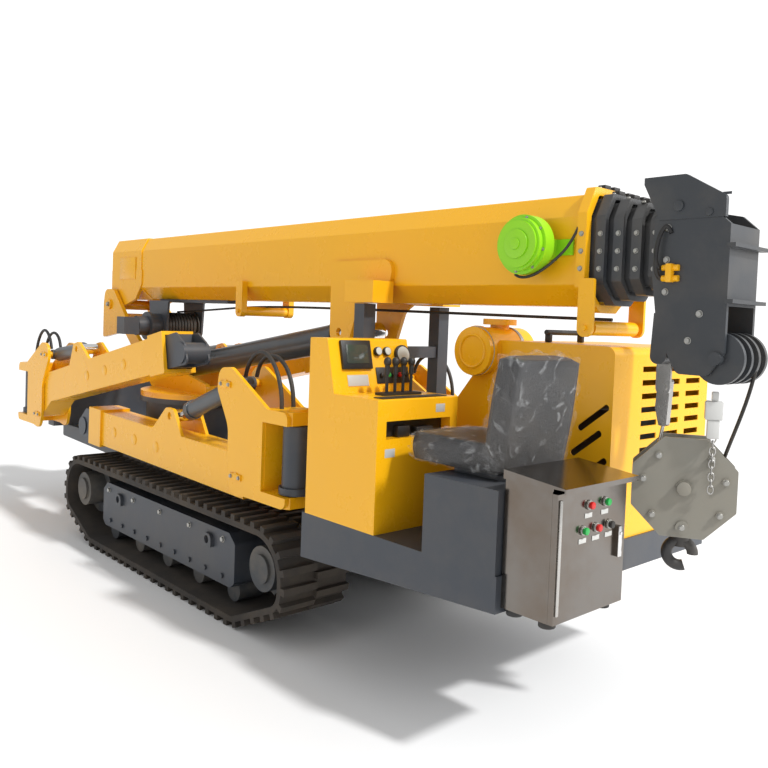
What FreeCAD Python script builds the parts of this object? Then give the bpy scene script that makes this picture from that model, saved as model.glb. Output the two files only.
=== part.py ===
import FreeCAD, Part
import math
import os
from FreeCAD import Placement, Rotation, Vector

# A tracked spider crane with its legs folded and its boom on the rest.
# +X is forward (the boom's foot), +Y is left, +Z is up and the ground is z = 0.
# The origin is on the ground, under the middle of the machine's length and width.

os.makedirs("parts", exist_ok=True)
doc = FreeCAD.newDocument("SpiderCrane")
sheet = doc.addObject("Spreadsheet::Sheet", "Sizes")

# Driving dimensions in millimetres and degrees.
SIZES = {
    "plate": 20,
    "pin_radius": 22,
    "pin_clearance": 0.5,
    "side_clearance": 3,
    "half_width": 764,
    "track_rear": -1070,
    "track_front": 1630,
    "track_height": 580,
    "track_width": 396,
    "lug_height": 28,
    "belt_thickness": 30,
    "lug_pairs": 33,
    "wheel_gap": 3,
    "wheel_radius": 172,
    "hub_radius": 112,
    "side_beam_bottom": 154,
    "side_beam_top": 441,
    "side_beam_rear": -520,
    "side_beam_front": 1130,
    "side_beam_width": 250,
    "lower_roller_radius": 62,
    "lower_roller_count": 5,
    "belly_bottom": 300,
    "belly_top": 600,
    "tie_length": 111,
    "deck_top": 713,
    "deck_rear": -2332,
    "deck_front": -1190,
    "deck_skirt_front": 508,
    "deck_skirt_rear": 580,
    "console_rear": -1680,
    "console_front": -1212,
    "console_inner": 290,
    "console_top": 1504,
    "console_box_top": 1267,
    "seat_box_front": -1960,
    "seat_box_rear": -2325,
    "seat_box_inner": 270,
    "seat_middle": 475,
    "seat_half_width": 200,
    "seat_box_top": 1015,
    "hood_front": -1700,
    "hood_left": 60,
    "hood_top": 1520,
    "hood_waist": 1140,
    "hood_nose": -1390,
    "cleaner_radius": 112,
    "cabinet_left": 735,
    "cabinet_right": 315,
    "cabinet_depth": 200,
    "cabinet_bottom": 600,
    "cabinet_top": 1060,
    "door_thickness": 22,
    "rest_position": -1000,
    "rest_spread": 270,
    "rest_top": 1671,
    "slew_axis": 1050,
    "table_radius": 440,
    "table_bottom": 1004,
    "table_top": 1040,
    "mast_gap": 175,
    "foot_pin_x": 2236,
    "foot_pin_z": 1630,
    "foot_pin_radius": 40,
    "luff_base_x": 1550,
    "luff_base_z": 1150,
    "luff_eye_x": -683,
    "luff_eye_z": 1516,
    "luff_barrel_radius": 82,
    "luff_rod_radius": 50,
    "boom_foot": 2290,
    "boom_end": -2240,
    "boom_half_width": 160,
    "boom_bottom": 1680,
    "boom_side_bottom": 1767,
    "boom_side_top": 2045,
    "boom_top": 2140,
    "boom_wall": 8,
    "section_step": 21,
    "section_reach": 68,
    "collar_length": 44,
    "head_rear": -2800,
    "anchor_x": -2542,
    "anchor_z": 1500,
    "winch_x": 1500,
    "winch_z": 1478,
    "drum_radius": 96,
    "drum_half_length": 130,
    "block_radius": 190,
    "block_sheave_radius": 112,
    "block_turn": 30,
    "rope_radius": 7,
    "block_x": -2610,
    "block_z": 1000,
    "front_pivot": 2775,
    "rear_pivot": -900,
    "pivot_side": 585,
    "post_radius": 76,
    "post_bottom": 722,
    "post_top": 1058,
    "arm_width": 180,
    "arm_height": 225,
    "arm_wall": 8,
    "arm_pin_x": 380,
    "arm_pin_z": 750,
    "top_pin_x": 505,
    "top_pin_z": 1222,
    "arm_lug_x": 790,
    "arm_lug_z": 212,
    "lift_barrel_radius": 52,
    "lift_rod_radius": 30,
}
for row, (alias, value) in enumerate(SIZES.items(), start=1):
    sheet.set("A%d" % row, alias)
    sheet.set("B%d" % row, str(value))
    sheet.setAlias("B%d" % row, alias)
doc.recompute()


def size(alias):
    """The sheet's value of one driving dimension."""
    return float(sheet.get(alias))


# Shapes from outlines


def corner(before, here, after, radius):
    """Start, middle and end of the arc that rounds one corner of an outline."""
    back = (before - here).normalize()
    ahead = (after - here).normalize()
    half = back.getAngle(ahead) / 2
    reach = radius / math.tan(half)
    inward = (back + ahead).normalize()
    centre = here + inward * (radius / math.sin(half))
    return here + back * reach, centre - inward * radius, here + ahead * reach


def outline(points):
    """Closed wire in the XY plane through (x, y, radius) corners, each rounded by its radius."""
    corners = []
    for index, (x, y, radius) in enumerate(points):
        here = Vector(x, y, 0)
        if radius > 0:
            before = Vector(*points[index - 1][:2], 0)
            after = Vector(*points[(index + 1) % len(points)][:2], 0)
            corners.append(corner(before, here, after, radius))
        else:
            corners.append((here, None, here))
    edges = []
    for index, (start, middle, end) in enumerate(corners):
        if middle is not None:
            edges.append(Part.Arc(start, middle, end).toShape())
        following = corners[(index + 1) % len(corners)][0]
        if end.distanceToPoint(following) > 0.001:
            edges.append(Part.LineSegment(end, following).toShape())
    return Part.Wire(edges)


TURN = {
    "X": Rotation(Vector(0, 1, 0), Vector(0, 0, 1), Vector(1, 0, 0)),
    "Y": Rotation(Vector(1, 0, 0), Vector(0, 0, 1), Vector(0, -1, 0)),
    "Z": Rotation(),
}


def prism(points, axis, start, end, holes=()):
    """Plate or bar: outline points across the axis, pushed from start to end along it.

    Points are (y, z), (x, z) or (x, y) with a radius; holes are (a, b, radius).
    """
    face = Part.Face(outline([point if len(point) == 3 else (*point, 0) for point in points]))
    for a, b, radius in holes:
        hole = Part.Wire(Part.makeCircle(radius, Vector(a, b, 0)))
        face = face.cut(Part.Face(hole)).Faces[0]
    low, high = min(start, end), max(start, end)
    shape = face.extrude(Vector(0, 0, high - low))
    if axis == "Y":
        shape.Placement = Placement(Vector(0, high, 0), TURN[axis])
    elif axis == "X":
        shape.Placement = Placement(Vector(low, 0, 0), TURN[axis])
    else:
        shape.Placement = Placement(Vector(0, 0, low), TURN[axis])
    return shape


AXES = {"X": Vector(1, 0, 0), "Y": Vector(0, 1, 0), "Z": Vector(0, 0, 1)}


def bar(axis, x, y, z, radius, start, end, bore=0):
    """Round bar or tube along an axis through (x, y, z), from start to end on that axis."""
    base = Vector(x, y, z)
    setattr(base, axis.lower(), start)
    shape = Part.makeCylinder(radius, end - start, base, AXES[axis])
    if bore > 0:
        shape = shape.cut(Part.makeCylinder(bore, end - start, base, AXES[axis]))
    return shape


def block(x_low, x_high, y_low, y_high, z_low, z_high):
    """Box between two corners."""
    corner_low = Vector(x_low, y_low, z_low)
    return Part.makeBox(x_high - x_low, y_high - y_low, z_high - z_low, corner_low)


def joined(shapes):
    """One piece of several that touch or overlap."""
    shape = shapes[0].multiFuse(shapes[1:]) if len(shapes) > 1 else shapes[0]
    return shape.removeSplitter()


def drilled(shape, tools):
    """The piece with the tools' space taken out."""
    return shape.cut(Part.makeCompound(tools))


def mirrored(shape):
    """The same piece on the other side of the machine."""
    return shape.mirror(Vector(0, 0, 0), Vector(0, 1, 0))


pieces = []


def keep(label, shape, placement=None):
    """Put a shape into the document under the name of its file."""
    piece = doc.addObject("Part::Feature", label)
    piece.Label = label
    piece.Shape = shape
    if placement is not None:
        piece.Placement = placement
    pieces.append(piece)
    return piece


def keep_feature(label, feature):
    """Name a finished parametric object and keep it for its file."""
    feature.Label = label
    pieces.append(feature)
    return feature


def bound(kind, name, **expressions):
    """A parametric primitive whose sizes are tied to the sheet by expressions."""
    feature = doc.addObject(kind, name)
    for prop, expression in expressions.items():
        feature.setExpression(prop.replace("__", "."), expression)
    return feature


pin = size("pin_radius")
gap = size("side_clearance")
plate = size("plate")
half_width = size("half_width")
SIDES = {"left": 1, "right": -1}

# Tracks
track_inner = half_width - size("track_width")
track_top = size("track_height")
lug = size("lug_height")
belt = size("belt_thickness")
TRACK_PATH = [
    # x, z, corner radius, from the top rear corner round to the lower rear one
    (size("track_rear"), track_top, 250),
    (size("track_front"), track_top, 250),
    (size("track_front"), 190, 150),
    (size("track_front") - 440, 0, 200),
    (size("track_rear") + 440, 0, 200),
    (size("track_rear"), 190, 150),
]


def track_ring(shift, y_low, y_high):
    """Half the width of a track: a belt with raised lugs, by stepping round its path."""
    tips = outline(TRACK_PATH)
    foot = tips.makeOffset2D(-lug)
    count = int(size("lug_pairs")) * 2
    parts_of_pitch = 8
    lug_parts = 3
    steps = count * parts_of_pitch
    tip_points = tips.discretize(Number=steps + 1)[:-1]
    inside = Part.Face(foot.makeOffset2D(-belt))
    toothed = []
    for index in range(0, steps, parts_of_pitch):
        first = (index + shift) % steps
        last = (first + lug_parts) % steps
        for at in (first, last):
            tip = tip_points[at]
            root = foot.distToShape(Part.Vertex(tip))[1][0][0]
            toothed += [root, tip] if at == first else [tip, root]
    ring = Part.Face(Part.makePolygon(toothed + toothed[:1])).cut(inside)
    solid = ring.extrude(Vector(0, 0, y_high - y_low))
    solid.Placement = Placement(Vector(0, y_high, 0), TURN["Y"])
    return solid


track_middle = (track_inner + half_width) / 2
left_track = joined([
    track_ring(0, track_inner, track_middle),
    track_ring(4, track_middle, half_width),
])
keep("track_left", left_track)
keep("track_right", mirrored(left_track))

# Track frames with welded lugs and bolts along the sole
beam_inner = track_middle - size("side_beam_width") / 2
beam_outer = track_middle + size("side_beam_width") / 2
beam_low, beam_high = size("side_beam_bottom"), size("side_beam_top")
beam_rear, beam_front = size("side_beam_rear"), size("side_beam_front")
side_beam = prism([
    (beam_rear, beam_low + 30, 20), (beam_rear + 40, beam_low, 10), (beam_front - 40, beam_low, 10),
    (beam_front, beam_low + 30, 20), (beam_front, beam_high - 50, 20), (beam_front - 60, beam_high, 20),
    (beam_rear + 60, beam_high, 20), (beam_rear, beam_high - 50, 20),
], "Y", beam_inner, beam_outer)
frame_parts = [side_beam]
ear_width, ear_height = 90, 70
for ear_x in (beam_rear + 260, beam_front - 260):
    frame_parts.append(prism([
        (ear_x - ear_width / 2, beam_high - 110), (ear_x + ear_width / 2, beam_high - 110),
        (ear_x + ear_width / 2, beam_high - 110 + ear_height, 34),
        (ear_x - ear_width / 2, beam_high - 110 + ear_height, 34),
    ], "Y", beam_outer, beam_outer + plate, holes=[(ear_x, beam_high - 75, pin)]))
bolt_count = 9
for index in range(bolt_count):
    bolt_x = beam_rear + 120 + index * (beam_front - beam_rear - 240) / (bolt_count - 1)
    frame_parts.append(bar("Y", bolt_x, 0, beam_low + 45, 14, beam_outer - 1, beam_outer + 10))
wheel_radius = size("wheel_radius")
axle_z = track_top - lug - belt - size("wheel_gap") - wheel_radius
sprocket_x = size("track_rear") + 250
idler_x = size("track_front") - 250
for wheel_x, beam_end in ((sprocket_x, beam_rear), (idler_x, beam_front)):
    arm_low, arm_high = sorted((wheel_x, beam_end))
    frame_parts.append(block(arm_low, arm_high, beam_inner, beam_inner + plate, axle_z - 60, axle_z + 60))
    frame_parts.append(bar("Y", wheel_x, 0, axle_z, 60, beam_inner, beam_inner + plate))
cross_tie = 260
belly_half = beam_inner - size("tie_length")
for tie_x in (beam_rear + cross_tie, beam_front - cross_tie):
    frame_parts.append(block(
        tie_x - 90, tie_x + 90, belly_half, beam_inner + 1, beam_low + 120, beam_high - 20))
left_frame = joined(frame_parts)
keep("track_frame_left", left_frame)
keep("track_frame_right", mirrored(left_frame))

# Sprockets, idlers and lower rollers, on the frames' axles
wheel_half = 75
sprocket_teeth = 13
wheels = []
for wheel_x in (sprocket_x, idler_x):
    wheel = joined([
        bar("Y", wheel_x, 0, axle_z, wheel_radius, beam_inner + plate, beam_inner + plate + 2 * wheel_half),
        bar("Y", wheel_x, 0, axle_z, size("hub_radius"), beam_inner + plate, beam_outer + 30),
        bar("Y", wheel_x, 0, axle_z, size("hub_radius") - 40, beam_inner + plate, beam_outer + 45),
    ])
    if wheel_x == sprocket_x:
        notches = []
        for index in range(sprocket_teeth):
            angle = 2 * math.pi * index / sprocket_teeth
            notches.append(bar(
                "Y", wheel_x + wheel_radius * math.cos(angle), 0, axle_z + wheel_radius * math.sin(angle),
                22, beam_inner, beam_outer))
        wheel = drilled(wheel, notches)
    wheels.append(wheel)
roller = size("lower_roller_radius")
roller_count = int(size("lower_roller_count"))
roller_z = lug + belt + roller + size("wheel_gap")
for index in range(roller_count):
    roller_x = beam_rear + 80 + index * (beam_front - beam_rear - 160) / (roller_count - 1)
    wheels.append(bar("Y", roller_x, 0, roller_z, roller, track_middle - wheel_half, track_middle + wheel_half))
side_beams_cut = [side_beam, mirrored(side_beam)]
left_wheels = Part.makeCompound(wheels)
all_wheels = Part.makeCompound([left_wheels, mirrored(left_wheels)])
keep("track_wheels", drilled(all_wheels, side_beams_cut))

# Chassis: belly box, slew pedestal and the cross beams that carry the swing posts
belly_low, belly_high = size("belly_bottom"), size("belly_top")
slew_x = size("slew_axis")
front_pivot, rear_pivot = size("front_pivot"), size("rear_pivot")
pivot_side = size("pivot_side")
post_low, post_high = size("post_bottom"), size("post_top")
post = size("post_radius")
chassis_parts = [
    prism([
        (rear_pivot - 120, belly_low, 30), (size("track_front") - 380, belly_low, 80),
        (size("track_front") + 120, belly_high - 130, 80), (front_pivot + 60, belly_high - 100, 20),
        (front_pivot + 60, belly_high, 0),
        (rear_pivot - 120, belly_high, 0),
    ], "Y", -belly_half, belly_half),
    bar("Z", slew_x, 0, 0, 400, belly_high - 1, size("table_bottom") - 34),
    bar("Z", slew_x, 0, 0, 440, size("table_bottom") - 34, size("table_bottom") - 0.3),
]
for pivot_x in (front_pivot, rear_pivot):
    chassis_parts.append(block(
        pivot_x - 60, pivot_x + 60, -pivot_side + 130, pivot_side - 130, belly_high - 1, post_high - 20))
keep("chassis", joined(chassis_parts))

# Swing posts: one at each corner, bored for the pin that its leg swings on
for end, pivot_x in (("front", front_pivot), ("rear", rear_pivot)):
    for side_name, side in SIDES.items():
        inner, outer = sorted((side * (pivot_side - 130), side * pivot_side))
        swing_post = joined([
            block(pivot_x - 42, pivot_x + 42, inner, outer, post_low + 20, post_high - 40),
            bar("Z", pivot_x, side * pivot_side, 0, post, post_low, post_high),
            bar("Z", pivot_x, side * pivot_side, 0, post + 14, post_low, post_low + 34),
        ])
        keep("swing_post_%s_%s" % (end, side_name), drilled(swing_post, [
            bar("Z", pivot_x, side * pivot_side, 0, pin + size("pin_clearance"), post_low - 1, post_high + 1),
        ]))

# Rear deck: a plate on a boxed skirt
deck_top = size("deck_top")
deck_rear, deck_front = size("deck_rear"), size("deck_front")
deck = joined([
    prism([
        (deck_front, deck_top, 0), (deck_rear, deck_top, 0), (deck_rear, size("deck_skirt_rear"), 0),
        (deck_front, size("deck_skirt_front"), 0),
    ], "Y", -half_width, half_width),
    block(deck_front - 1, rear_pivot - 120, -belly_half, belly_half, belly_low + 210, belly_high),
])
hollow = prism([
    (deck_front - 25, deck_top - 12, 0), (deck_rear + 25, deck_top - 12, 0),
    (deck_rear + 25, belly_low, 0), (deck_front - 25, belly_low, 0),
], "Y", -half_width + 25, half_width - 25)
stiffeners = [
    block(deck_rear + 20, deck_front - 20, y - 15, y + 15, size("deck_skirt_rear"), deck_top - 11)
    for y in (-250, 250)
]
keep("deck", joined([deck.cut(hollow)] + stiffeners))

# Control console with a recess in its rear face
console_rear, console_front = size("console_rear"), size("console_front")
console_inner = size("console_inner")
console_box_top, console_top = size("console_box_top"), size("console_top")
console = prism([
    (console_front, deck_top, 0), (console_front, console_top, 8), (console_front - 122, console_top, 8),
    (console_front - 180, console_box_top, 0), (console_rear, console_box_top, 6), (console_rear, deck_top, 0),
], "Y", console_inner, half_width)
console_slot = block(
    console_rear - 1, console_rear + 60, console_inner + 45, half_width - 50,
    console_box_top - 165, console_box_top - 90)
keep("console", console.cut(console_slot))

# Levers: four on the console's ledge, three beside the engine cover
levers = []
lever_x = console_rear + 150
for index in range(4):
    lever_y = console_inner + 150 + index * 48
    stick = bar("Z", lever_x, lever_y, 0, 7, console_box_top, console_box_top + 90)
    grip = bar("Z", lever_x, lever_y, 0, 11, console_box_top + 90, console_box_top + 140)
    levers.append(joined([stick, grip]))
levers.append(block(
    lever_x - 30, lever_x + 30, console_inner + 110, console_inner + 150 + 3 * 48 + 40,
    console_box_top + 0.3, console_box_top + 12))
lever_bank = joined(levers)
keep("console_levers", lever_bank)

# Seat box and seat
seat_inner = size("seat_box_inner")
seat_box_top = size("seat_box_top")
seat_box = doc.addObject("PartDesign::Body", "SeatBoxBody")
floor_plane = [f for f in seat_box.Origin.OriginFeatures if f.Role == "XY_Plane"][0]
seat_sketch = seat_box.newObject("Sketcher::SketchObject", "SeatBoxOutline")
seat_sketch.AttachmentSupport = (floor_plane, [""])
seat_sketch.MapMode = "FlatFace"
seat_corners = [
    Vector(size("seat_box_rear"), seat_inner, 0), Vector(size("seat_box_front"), seat_inner, 0),
    Vector(size("seat_box_front"), half_width, 0), Vector(size("seat_box_rear"), half_width, 0),
]
for index, start in enumerate(seat_corners):
    seat_sketch.addGeometry(Part.LineSegment(start, seat_corners[(index + 1) % 4]), False)
seat_pad = seat_box.newObject("PartDesign::Pad", "SeatBoxHeight")
seat_pad.Profile = seat_sketch
seat_pad.setExpression("Length", "Sizes.seat_box_top - Sizes.deck_top")
seat_box.Placement = Placement(Vector(0, 0, deck_top), Rotation())
keep_feature("seat_box", seat_box)

cushion_top = seat_box_top + 100
seat_mid = size("seat_middle")
seat_half = size("seat_half_width")
seat_profile = [
    (size("seat_box_front") + 190, seat_box_top + 22, 20), (size("seat_box_front") + 190, cushion_top, 30),
    (size("seat_box_rear") + 150, cushion_top - 22, 40), (size("seat_box_rear") + 95, cushion_top + 350, 30),
    (size("seat_box_rear") + 25, cushion_top + 350, 30), (size("seat_box_rear") + 55, seat_box_top + 22, 30),
]
keep("seat", prism(seat_profile, "Y", seat_mid - seat_half, seat_mid + seat_half))
keep("seat_rails", joined([
    block(size("seat_box_rear") + 60, size("seat_box_front") - 20, seat_mid + y - 15, seat_mid + y + 15,
          seat_box_top, seat_box_top + 21.7)
    for y in (-130, 130)
] + [block(size("seat_box_rear") + 120, size("seat_box_rear") + 150, seat_mid - 130, seat_mid + 130,
           seat_box_top, seat_box_top + 15)]))

# Engine cover: sheet housing, open below, with the slots cut in its left and rear faces
hood_left, hood_top = size("hood_left"), size("hood_top")
hood_front, hood_nose, hood_waist = size("hood_front"), size("hood_nose"), size("hood_waist")
hood_profile = [
    (deck_rear + 10, deck_top, 0), (deck_rear + 10, hood_top, 40), (hood_front, hood_top, 60),
    (hood_nose, hood_waist, 20), (hood_nose, deck_top, 0),
]
hood = prism(hood_profile, "Y", -half_width + 10, hood_left)
sheet_wall = 6
hood_inside = prism([
    (deck_rear + 10 + sheet_wall, deck_top - 1, 0), (deck_rear + 10 + sheet_wall, hood_top - sheet_wall, 36),
    (hood_front - 3, hood_top - sheet_wall, 56), (hood_nose - sheet_wall, hood_waist - 3, 16),
    (hood_nose - sheet_wall, deck_top - 1, 0),
], "Y", -half_width + 10 + sheet_wall, hood_left - sheet_wall)
hood_cuts = [hood_inside]
slot_half = 14
for row in range(4):
    for column in range(1 if row == 3 else 2):
        start_x = deck_rear + 330 - column * 230 + 30 * (row % 2)
        start_z = hood_top - 500 + row * 110 - column * 20
        slanted = prism([
            (-90, -slot_half, slot_half - 1), (90, -slot_half, slot_half - 1),
            (90, slot_half, slot_half - 1), (-90, slot_half, slot_half - 1),
        ], "Y", -20, 20)
        slanted.Placement = Placement(Vector(start_x, hood_left, start_z), Rotation(Vector(0, 1, 0), 38)) \
            .multiply(slanted.Placement)
        hood_cuts.append(slanted)
grille_rows, grille_columns = 11, 3
for row in range(grille_rows):
    for column in range(grille_columns):
        low_y = -half_width + 90 + column * 190
        slot_z = deck_top + 120 + row * 58
        hood_cuts.append(block(deck_rear, deck_rear + 30, low_y, low_y + 130, slot_z, slot_z + 24))
keep("engine_cover", drilled(hood, hood_cuts))
engine = bound("Part::Box", "EngineBlock", Length="700 mm", Width="480 mm", Height="520 mm")
engine.Placement = Placement(Vector(deck_rear + 130, -half_width + 130, deck_top + 0.3), Rotation())
keep_feature("engine", engine)

# Air cleaner drum on two saddles in front of the cover, with a rain cap
cleaner = size("cleaner_radius")
cleaner_x, cleaner_z = hood_front + 85, hood_top - 55
cleaner_left = hood_left + 75
air_cleaner = joined([
    bar("Y", cleaner_x, 0, cleaner_z, cleaner, cleaner_left - 330, cleaner_left),
    bar("Y", cleaner_x, 0, cleaner_z, cleaner + 6, cleaner_left - 40, cleaner_left - 25),
    bar("Z", cleaner_x, cleaner_left - 190, 0, 45, cleaner_z, cleaner_z + cleaner + 30),
    bar("Z", cleaner_x, cleaner_left - 190, 0, 80, cleaner_z + cleaner + 12, cleaner_z + cleaner + 40),
])
keep("air_cleaner", air_cleaner.cut(hood).Solids[0])

# Stainless cabinet behind the seat box, its door hinged on the left
cab_left, cab_right = size("cabinet_left"), size("cabinet_right")
cab_low, cab_high = size("cabinet_bottom"), size("cabinet_top")
cab_front = deck_rear - 0.3
cab_rear = cab_front - size("cabinet_depth")
wall = 4
door = size("door_thickness")
shell = block(cab_rear, cab_front, cab_right, cab_left, cab_low, cab_high)
room = block(cab_rear - 1, cab_front - wall, cab_right + wall, cab_left - wall, cab_low + wall, cab_high - wall)
hood_roof = prism([
    (cab_front, cab_high - 1, 0), (cab_front, cab_high + 32, 0), (cab_rear - 62, cab_high + 6, 0),
    (cab_rear - 62, cab_high - 12, 0), (cab_rear - 56, cab_high - 12, 0), (cab_rear - 56, cab_high, 0),
    (cab_rear, cab_high, 0),
], "Y", cab_right - 14, cab_left + 14)
keep("cabinet", joined([shell.cut(room), hood_roof]))
door_gap = 0.3
door_solid = block(
    cab_rear - door - door_gap, cab_rear - door_gap, cab_right + door_gap, cab_left - door_gap,
    cab_low + door_gap, cab_high - 20)
door_pan = block(
    cab_rear - door - door_gap + wall, cab_rear, cab_right + 18, cab_left - 18, cab_low + 18, cab_high - 38)
handle = block(
    cab_rear - door - 12, cab_rear - door - door_gap, cab_right + 40, cab_right + 62,
    (cab_low + cab_high) / 2 - 55, (cab_low + cab_high) / 2 + 55)
keep("cabinet_door", joined([door_solid.cut(door_pan), handle]))

# Boom rest: two posts and a cross bar behind the cabinet and console
rest_x, rest_y, rest_top = size("rest_position"), size("rest_spread"), size("rest_top")
rest_half = 38
rest_parts = [
    block(rest_x - rest_half, rest_x + rest_half, side * rest_y - rest_half, side * rest_y + rest_half,
          belly_high + 0.3, rest_top) for side in SIDES.values()
]
rest_parts.append(block(
    rest_x - 26, rest_x + 26, -rest_y, rest_y, 1395, 1455))
keep("boom_rest", joined(rest_parts))

# Legs: the four share one design. Along each leg, x runs from its swing pivot.
LEGS = {
    # name: pivot x, side, heading, arm length, arm pitch, root drop
    "front_left": (front_pivot, 1, 180, 2130, 11.3, 186),
    "front_right": (front_pivot, -1, 180, 2130, 11.3, 186),
    "rear_left": (rear_pivot, 1, 0, 1930, 1.0, 0),
    "rear_right": (rear_pivot, -1, 0, 1930, 1.0, 0),
}
arm_half = size("arm_width") / 2
arm_height = size("arm_height")
arm_wall = size("arm_wall")
low_x, low_z = size("arm_pin_x"), size("arm_pin_z")
high_x, high_z = size("top_pin_x"), size("top_pin_z")
lug_x, lug_z = size("arm_lug_x"), size("arm_lug_z")
cheek = arm_half + gap
fit = size("pin_clearance")
CHEEK_OUTLINE = [
    # x, z, radius of one cheek plate, from the lower ear round to the upper one
    (-60, 660, 40), (300, 660, 60), (430, 640, 70), (470, 760, 60), (470, 1000, 150), (590, 1190, 60),
    (575, 1305, 66), (455, 1315, 66), (110, 1130, 40), (-60, 1130, 40), (-60, 1064, 0), (150, 1064, 0),
    (150, 716, 0), (-60, 716, 0),
]


def swing_bracket():
    """Yellow bracket: two cheeks, and an ear above and below the corner post."""
    cheeks = [
        prism(CHEEK_OUTLINE, "Y", side * cheek, side * (cheek + plate)) for side in SIDES.values()
    ]
    cross_pins = [
        bar("Y", x, 0, z, pin, -cheek - plate - 6, cheek + plate + 6)
        for x, z in ((low_x, low_z), (high_x, high_z))
    ]
    ears = []
    for ear_low, ear_high in ((660, 716), (1064, 1130)):
        ears.append(block(0, 150, -cheek - 1, cheek + 1, ear_low, ear_high))
        ears.append(bar("Z", 0, 0, 0, cheek + plate / 2, ear_low, ear_high))
    web = block(148, 172, -cheek - 1, cheek + 1, 700, 1080)
    cap = bar("Z", 0, 0, 0, 52, 1129, 1142)
    king_pin = bar("Z", 0, 0, 0, pin, 659, 1131)
    cut_back = [block(-cheek - plate - 2, -62, -cheek - plate, cheek + plate, 600, 1200)]
    return drilled(joined(cheeks + ears + cross_pins + [web, cap, king_pin]), cut_back)


slack = 5
pad_clearance = 0.3


def arm(length, drop):
    """Outer box of a leg's arm, in its own frame: x along the box from the low pin."""
    rise = drop
    box_low, box_high = rise - arm_height / 2, rise + arm_height / 2
    root = 150 if drop else -40
    outer = prism([
        (root, box_low, 0), (length, box_low, 0), (length, box_high, 0), (root + 60, box_high, 0),
    ], "Y", -arm_half, arm_half)
    nose = prism([
        (-62, -62, 60), (root + 90, -62 if not drop else box_low - 1, 0), (root + 90, box_high, 20),
        (-40, min(box_high, 90), 50),
    ], "Y", -arm_half, arm_half)
    collar = block(
        length - 190, length, -arm_half - 14, arm_half + 14, box_low - 14, box_high + 14)
    lug_points = [
        (lug_x - 150, box_high - 1, 0), (lug_x + 210, box_high - 1, 0),
        (lug_x + 46, rise + lug_z + 46, 44), (lug_x - 46, rise + lug_z + 46, 44),
    ]
    lugs = [
        prism(lug_points, "Y", side * arm_half, side * (arm_half - plate),
              holes=[(lug_x, rise + lug_z, pin + fit)])
        for side in SIDES.values()
    ]
    bore = block(
        root + 150, length + 1, -arm_half + arm_wall, arm_half - arm_wall,
        box_low + arm_wall, box_high - arm_wall)
    body = joined([outer, nose, collar])
    wall_y, wall_z = arm_half - arm_wall, arm_height / 2 - arm_wall
    pad = slack - pad_clearance
    pads = []
    for side in SIDES.values():
        inner, outer_y = sorted((side * (wall_y - pad), side * (wall_y + 1)))
        pads.append(block(length - 80, length - 10, inner, outer_y, rise - 60, rise + 60))
        low, high = sorted((rise + side * (wall_z - pad), rise + side * (wall_z + 1)))
        pads.append(block(length - 80, length - 10, -50, 50, low, high))
    return drilled(joined([body.cut(bore)] + lugs + pads), [bar("Y", 0, 0, 0, pin + fit, -200, 200)])


def inner_arm(length, drop):
    """Inner box of a leg's arm with the foot's side plates and its round foot."""
    half = arm_half - arm_wall - slack
    tall = arm_height / 2 - arm_wall - slack
    tube = block(length - 1250, length + 60, -half, half, drop - tall, drop + tall)
    inside = block(length - 1251, length + 30, -half + 8, half - 8, drop - tall + 8, drop + tall - 8)
    plates = [
        prism([
            (length + 4, drop - tall, 0), (length + 235, drop - tall - 6, 30),
            (length + 215, drop + 20, 30), (length + 120, drop + tall, 10), (length + 4, drop + tall, 0),
        ], "Y", side * half, side * (half - 12)) for side in SIDES.values()
    ]
    foot = bar("Y", length + 165, 0, drop - 30, 62, -half - 8, half + 8)
    return joined([tube.cut(inside)] + plates + [foot])


def cylinder_pieces(reach, barrel_radius, rod_radius, eye_half, overlap):
    """Barrel with its eye at the origin, and rod with its eye at x = reach."""
    eye = barrel_radius * 0.72
    barrel_end = reach - eye - overlap
    barrel = joined([
        bar("X", 0, 0, 0, barrel_radius, eye * 0.6, barrel_end),
        bar("X", 0, 0, 0, barrel_radius + 6, barrel_end - 40, barrel_end),
        bar("Y", 0, 0, 0, eye, -eye_half, eye_half),
    ])
    bore = bar("X", 0, 0, 0, rod_radius + 0.3, eye * 0.6 + 60, barrel_end + 1)
    barrel = drilled(barrel, [bore, bar("Y", 0, 0, 0, pin + fit, -eye_half - 1, eye_half + 1)])
    rod = joined([
        bar("X", 0, 0, 0, rod_radius, eye * 0.6 + 90, reach - eye * 0.5),
        bar("Y", reach, 0, 0, eye, -eye_half, eye_half),
    ])
    return barrel, rod


def leg_place(pivot_x, side, heading):
    """Placement of a leg's own frame in the machine."""
    return Placement(Vector(pivot_x, side * pivot_side, 0), Rotation(Vector(0, 0, 1), heading))


bracket_shape = swing_bracket()
for leg, (pivot_x, side, heading, arm_length, pitch, drop) in LEGS.items():
    place = leg_place(pivot_x, side, heading)
    keep("bracket_" + leg, bracket_shape, place)
    arm_place = place.multiply(Placement(Vector(low_x, 0, low_z), Rotation(Vector(0, 1, 0), -pitch)))
    keep("arm_" + leg, arm(arm_length, drop), arm_place)
    keep("inner_arm_" + leg, inner_arm(arm_length, drop), arm_place)
    turn = math.radians(pitch)
    lug_at_x = low_x + lug_x * math.cos(turn) - (drop + lug_z) * math.sin(turn)
    lug_at_z = low_z + lug_x * math.sin(turn) + (drop + lug_z) * math.cos(turn)
    reach = math.hypot(lug_at_x - high_x, lug_at_z - high_z)
    slope = math.degrees(math.atan2(lug_at_z - high_z, lug_at_x - high_x))
    lift_place = place.multiply(Placement(Vector(high_x, 0, high_z), Rotation(Vector(0, 1, 0), -slope)))
    barrel, rod = cylinder_pieces(
        reach, size("lift_barrel_radius"), size("lift_rod_radius"), arm_half - plate - gap - 12, 70)
    keep("lift_barrel_" + leg, barrel, lift_place)
    keep("lift_rod_" + leg, rod, lift_place)

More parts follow.
